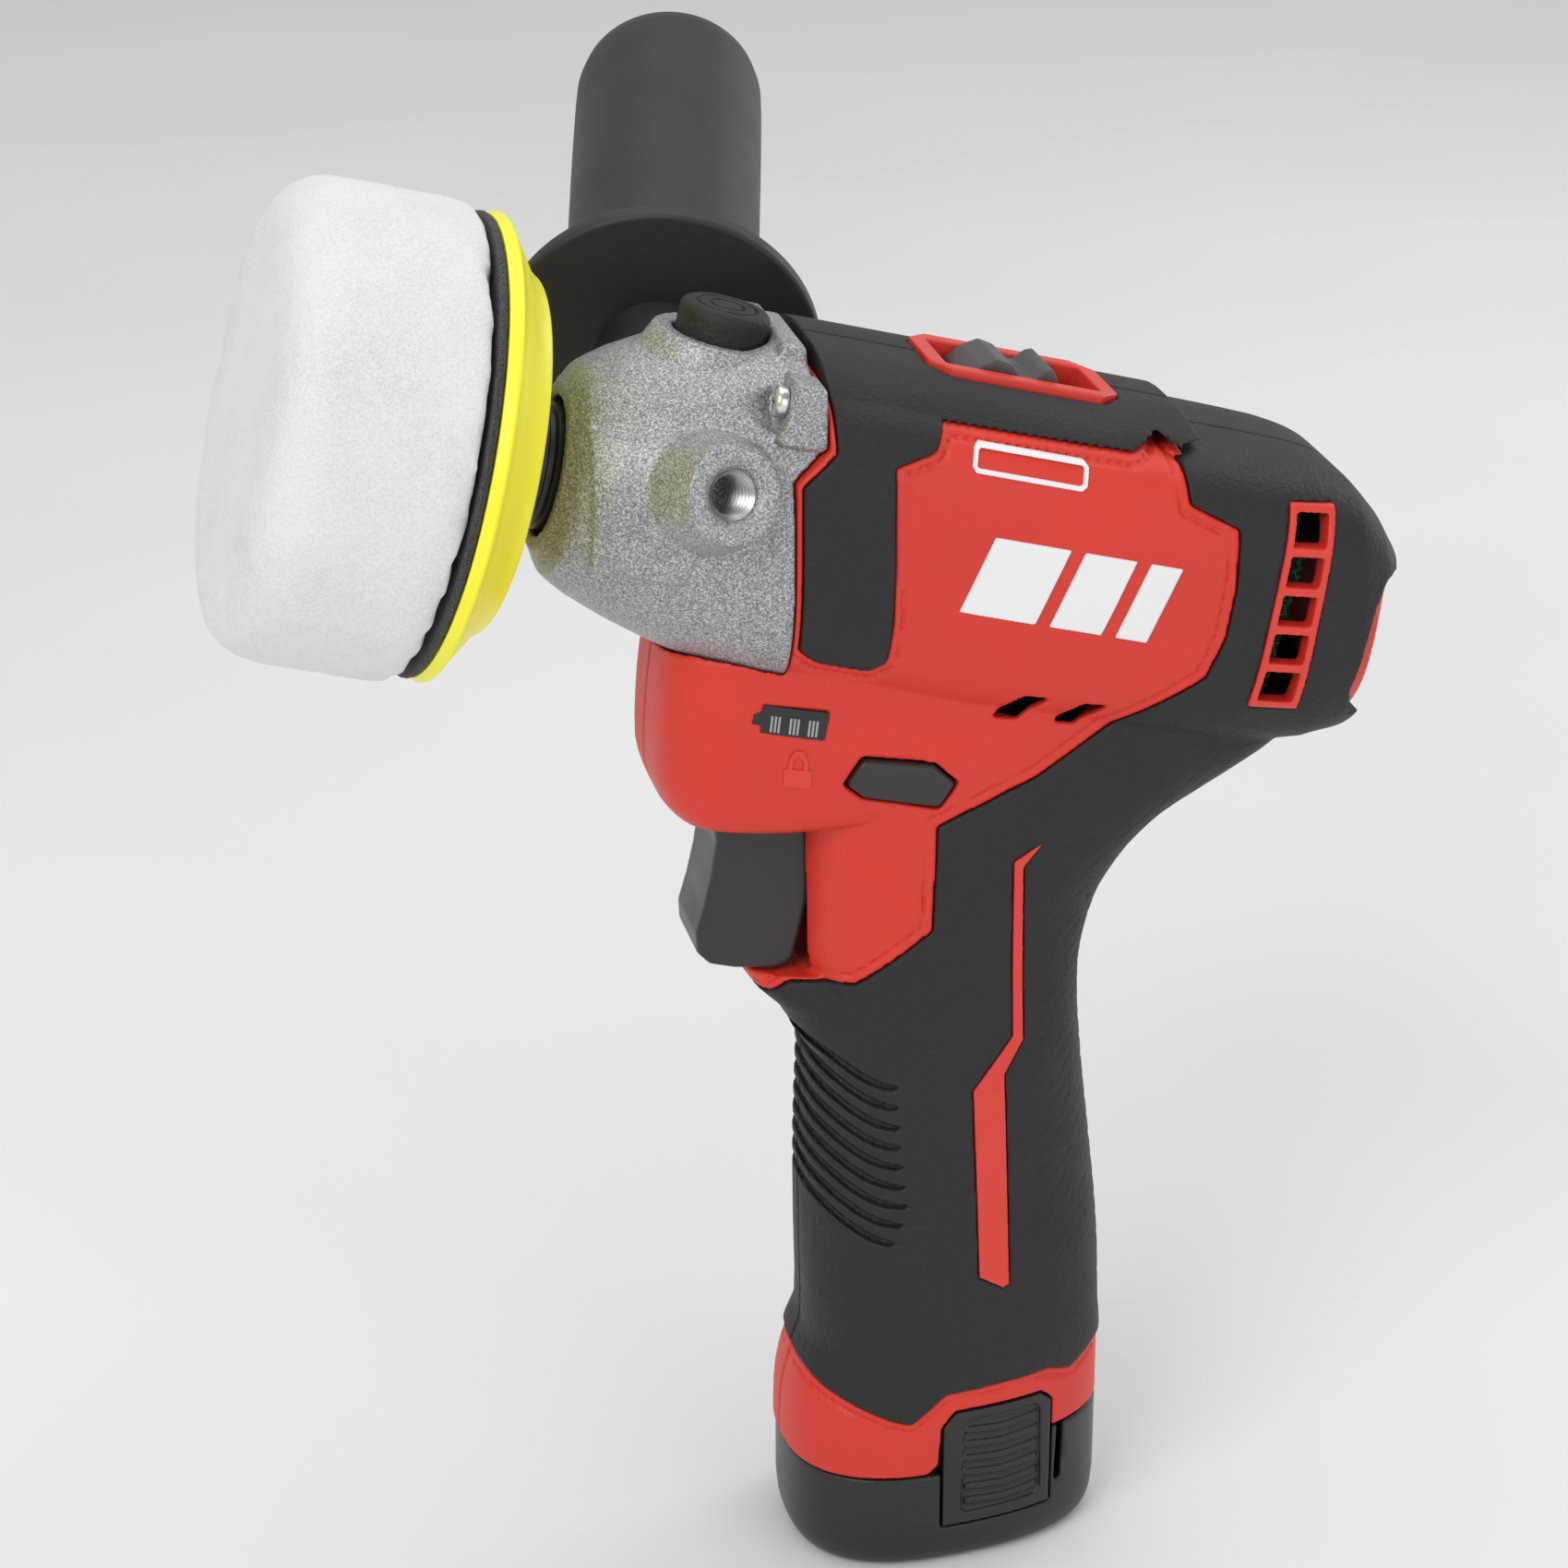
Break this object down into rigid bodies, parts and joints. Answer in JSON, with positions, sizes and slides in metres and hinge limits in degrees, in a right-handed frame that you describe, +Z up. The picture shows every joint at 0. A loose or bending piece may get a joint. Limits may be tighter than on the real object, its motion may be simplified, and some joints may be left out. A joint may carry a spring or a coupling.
{
  "type": "cordless dual action polisher",
  "caption": "Cordless pistol-grip polisher with a foam pad on an offset hub, a cast gear head, a slide selector, a trigger, a slide-in battery and a screw-in side handle.",
  "frame": {"origin": "centre of the battery's flat foot, on the surface the tool stands on", "axes": "+Z up, -X towards the foam pad, +Y towards the side handle"},
  "size_m": [0.1978, 0.1713, 0.2526],
  "materials": {
    "red_plastic": "fine spark-eroded texture",
    "black_rubber": "leather-grain soft overmould",
    "cast_silver": "die-cast, grey metallic paint",
    "steel": "machined",
    "dark_steel": "blackened",
    "copper": "enamelled wire and copper strip",
    "black_plastic": "satin",
    "grey_plastic": "satin",
    "yellow_plastic": "smooth polyurethane",
    "hook_fabric": "hook-and-loop pile",
    "foam": "open-cell foam",
    "circuit_board": "solder mask",
    "cell_wrap": "shrink wrap"
  },
  "bodies": {
    "housing": {"housing_left": "red_plastic", "housing_right": "red_plastic", "band_overmould_left": "black_rubber", "band_overmould_right": "black_rubber", "grip_overmould_left": "black_rubber", "grip_overmould_right": "black_rubber", "selector_window_frame": "red_plastic", "gear_head": "cast_silver", "head_screw_left": "dark_steel", "head_screw_right": "dark_steel", "housing_screw_1": "dark_steel", "housing_screw_2": "dark_steel", "housing_screw_3": "dark_steel", "front_bearing": "steel", "bearing_plate": "cast_silver", "rear_spindle_bearing": "steel", "ring_gear": "dark_steel", "motor_stator": "dark_steel", "motor_windings": "copper", "motor_front_bearing": "steel", "motor_front_plate": "cast_silver", "motor_rear_bearing": "steel", "motor_rear_plate": "black_plastic", "controller_board": "circuit_board", "battery_gauge": "black_plastic", "terminal_block": "grey_plastic", "trigger_switch": "black_plastic", "trigger_spring": "steel", "lock_spring": "steel"},
    "spindle": {"spindle": "steel", "lock_disk": "dark_steel", "planet_carrier": "steel", "eccentric_hub": "black_plastic", "pad_bearing": "steel"},
    "rotor": {"motor_rotor": "dark_steel", "motor_shaft": "steel", "sun_pinion": "steel", "cooling_fan": "grey_plastic"},
    "planet_1": {"planet_gear_1": "steel"},
    "planet_2": {"planet_gear_2": "steel"},
    "planet_3": {"planet_gear_3": "steel"},
    "pad": {"pad_stud": "steel", "backing_plate": "yellow_plastic", "hook_and_loop_layer": "hook_fabric", "foam_pad": "foam"},
    "lock_button": {"spindle_lock_button": "black_plastic", "lock_pin": "steel"},
    "selector": {"speed_selector": "grey_plastic", "speed_collar": "black_plastic"},
    "trigger": {"trigger": "grey_plastic"},
    "lock_off": {"lock_off_button": "grey_plastic"},
    "battery": {"battery_case": "black_plastic", "battery_tower": "black_plastic", "battery_cells": "cell_wrap", "battery_contacts": "copper"},
    "latch_left": {"battery_latch_left": "black_plastic"},
    "latch_right": {"battery_latch_right": "black_plastic"},
    "side_handle": {"side_handle": "black_rubber", "side_handle_stud": "steel"}
  },
  "joints": [
    {"name": "spindle_spin", "type": "hinge", "parent": "housing", "child": "spindle", "pos_m": [-0.0496, 0, 0.2006], "axis": [0.9684, 0, -0.2494], "continuous": true},
    {"name": "rotor_spin", "type": "hinge", "parent": "housing", "child": "rotor", "pos_m": [0.00851, 0, 0.18564], "axis": [0.9684, 0, -0.2494], "continuous": true},
    {"name": "planet_1_spin", "type": "hinge", "parent": "spindle", "child": "planet_1", "pos_m": [-0.03091, 0, 0.18495], "axis": [0.9684, 0, -0.2494], "continuous": true},
    {"name": "planet_2_spin", "type": "hinge", "parent": "spindle", "child": "planet_2", "pos_m": [-0.02699, 0.00909, 0.2002], "axis": [0.9684, 0, -0.2494], "continuous": true},
    {"name": "planet_3_spin", "type": "hinge", "parent": "spindle", "child": "planet_3", "pos_m": [-0.02699, -0.00909, 0.2002], "axis": [0.9684, 0, -0.2494], "continuous": true},
    {"name": "pad_spin", "type": "hinge", "parent": "spindle", "child": "pad", "pos_m": [-0.07865, 0.0015, 0.20808], "axis": [0.9684, 0, -0.2494], "continuous": true},
    {"name": "lock_button_press", "type": "slide", "parent": "housing", "child": "lock_button", "axis": [-0.2494, 0, -0.9684], "range_m": [0, 0.0026], "stiffness_N_per_m": 900, "springref_m": -0.0012, "deforming": ["lock_spring"]},
    {"name": "speed_select", "type": "slide", "parent": "housing", "child": "selector", "axis": [0.9684, 0, -0.2494], "range_m": [0, 0.005]},
    {"name": "trigger_pull", "type": "slide", "parent": "housing", "child": "trigger", "axis": [1, 0, 0], "range_m": [0, 0.006], "stiffness_N_per_m": 700, "springref_m": -0.002, "deforming": ["trigger_spring"]},
    {"name": "lock_off_push", "type": "slide", "parent": "housing", "child": "lock_off", "axis": [0, 1, 0], "range_m": [0, 0.003]},
    {"name": "battery_slide", "type": "slide", "parent": "housing", "child": "battery", "axis": [0, 0, -1], "range_m": [0, 0.085]},
    {"name": "latch_left_squeeze", "type": "slide", "parent": "battery", "child": "latch_left", "axis": [0, 1, 0], "range_m": [0, 0.0014], "stiffness_N_per_m": 1200, "springref_m": -0.001},
    {"name": "latch_right_squeeze", "type": "slide", "parent": "battery", "child": "latch_right", "axis": [0, -1, 0], "range_m": [0, 0.0014], "stiffness_N_per_m": 1200, "springref_m": -0.001},
    {"name": "side_handle_unscrew", "type": "slide", "parent": "housing", "child": "side_handle", "axis": [0.2164, 0.9454, 0.2439], "range_m": [0, 0.018]}
  ],
  "couplings": [
    {"joint": "rotor_spin", "follows": "spindle_spin", "ratio": 5},
    {"joint": "planet_1_spin", "follows": "spindle_spin", "ratio": -2.6667},
    {"joint": "planet_2_spin", "follows": "spindle_spin", "ratio": -2.6667},
    {"joint": "planet_3_spin", "follows": "spindle_spin", "ratio": -2.6667}
  ]
}
